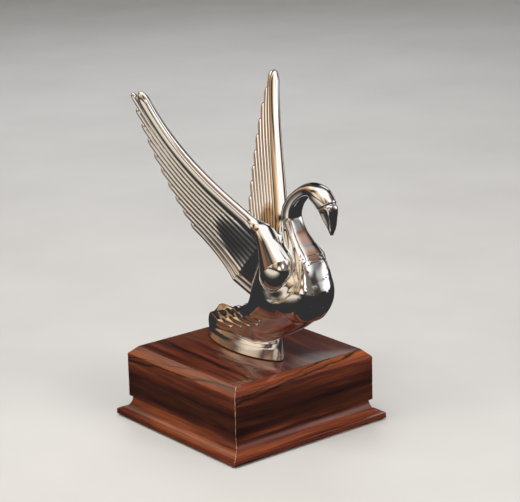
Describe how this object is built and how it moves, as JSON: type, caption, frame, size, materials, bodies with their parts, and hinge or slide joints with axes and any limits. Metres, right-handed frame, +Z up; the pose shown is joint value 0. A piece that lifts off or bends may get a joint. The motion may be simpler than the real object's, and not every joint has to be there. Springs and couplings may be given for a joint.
{
  "type": "hood ornament",
  "caption": "Chrome-plated swan mascot with raised feathered wings and a hooked neck, standing on a square wood-grain display plinth with a bevelled top and a coved skirt.",
  "frame": {"origin": "middle of the felt under the plinth, on the surface that it stands on", "axes": "+Z up; the swan faces -Y, turned 3 degrees clockwise from above; its right wing is on -X"},
  "size_m": [0.1132, 0.1392, 0.1978],
  "materials": {
    "chrome_plate": "polished chrome plate over a zinc casting",
    "rosewood_foil": "glossy rosewood-grain foil",
    "steel": "bright zinc-plated steel",
    "rubber": "black sheet rubber",
    "pine": "raw sawn pine",
    "hardboard": "smooth brown hardboard",
    "felt": "dark green pressed felt"
  },
  "bodies": {
    "root": {"swan_body": "chrome_plate", "right_wing": "chrome_plate", "left_wing": "chrome_plate", "wing_dowels": "steel", "foot_gasket": "rubber", "mounting_studs": "steel", "stud_washers": "steel", "lock_washers": "steel", "stud_nuts": "steel", "top_board": "rosewood_foil", "front_moulding": "rosewood_foil", "back_moulding": "rosewood_foil", "right_moulding": "rosewood_foil", "left_moulding": "rosewood_foil", "corner_blocks": "pine", "bottom_panel": "hardboard", "panel_screws": "steel", "felt_pad": "felt"}
  },
  "joints": []
}
